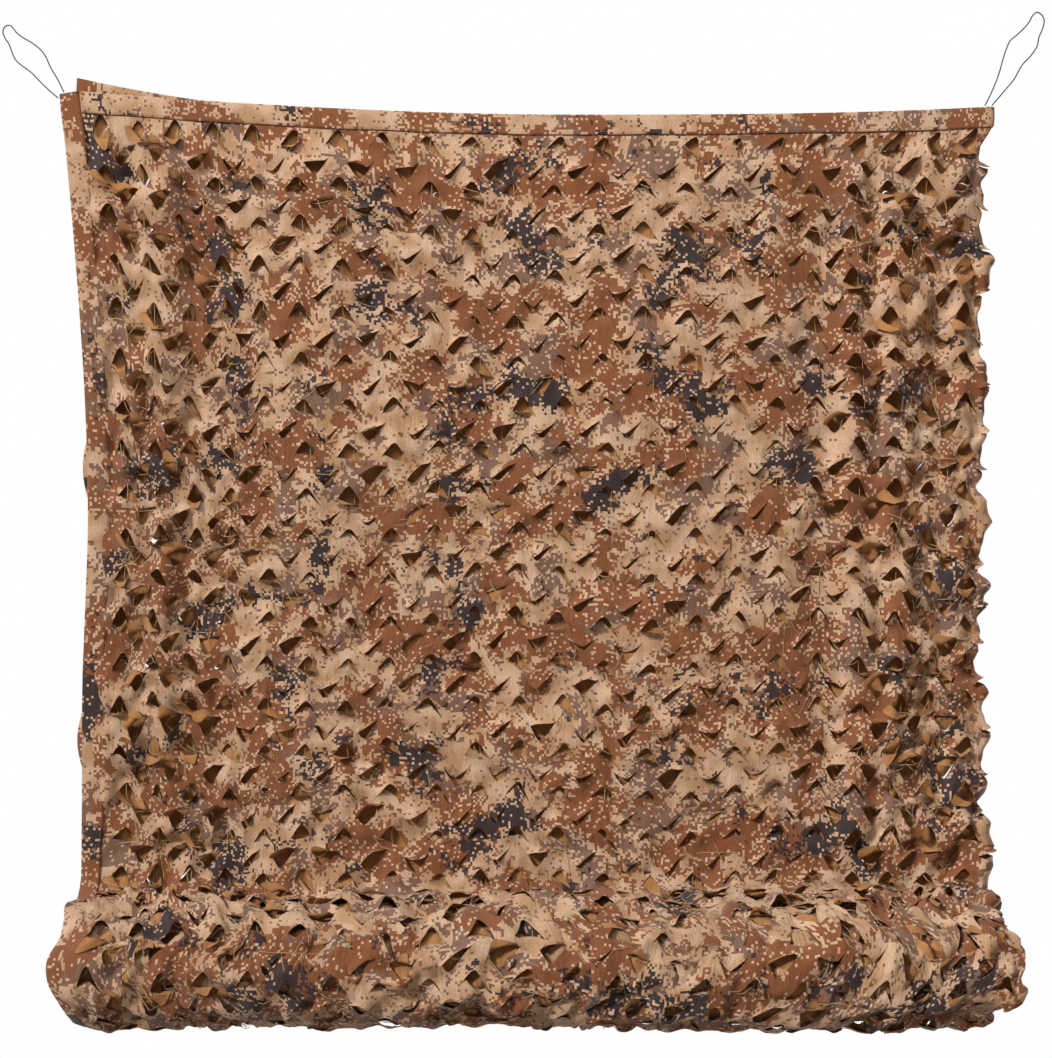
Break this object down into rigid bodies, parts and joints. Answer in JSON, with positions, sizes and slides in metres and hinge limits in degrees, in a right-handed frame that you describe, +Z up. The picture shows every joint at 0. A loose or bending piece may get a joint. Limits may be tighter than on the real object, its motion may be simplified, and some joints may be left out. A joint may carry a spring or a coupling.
{
  "type": "camouflage netting",
  "caption": "Leaf-cut camouflage net folded in half, hung by its top edge from cord loops, with the rest of its length wound in a roll at its foot.",
  "frame": {"origin": "middle of the net's top edge, on the middle of the front layer", "axes": "+Z up the hanging net, +X to the viewer's right towards the fold, -Y towards the viewer and the roll"},
  "size_m": [1.6676, 0.229, 1.5916],
  "materials": {
    "net_cloth": "printed woven polyester in a sand, rust, mauve and dark brown camouflage, matte",
    "roll_cloth": "the same printed woven polyester, wound",
    "top_binding_cloth": "folded printed cloth, stitched",
    "front_side_binding_cloth": "folded printed cloth, stitched",
    "back_side_binding_cloth": "folded printed cloth, stitched",
    "roll_binding_cloth": "folded printed cloth, stitched",
    "left_cord": "thin twisted olive cord",
    "right_cord": "thin twisted olive cord"
  },
  "bodies": {
    "root": {"net_sheet": "net_cloth", "net_roll": "roll_cloth", "top_binding": "top_binding_cloth", "front_side_binding": "front_side_binding_cloth", "back_side_binding": "back_side_binding_cloth", "roll_binding": "roll_binding_cloth", "corner_loop_left": "left_cord", "corner_loop_right": "right_cord"}
  },
  "joints": []
}
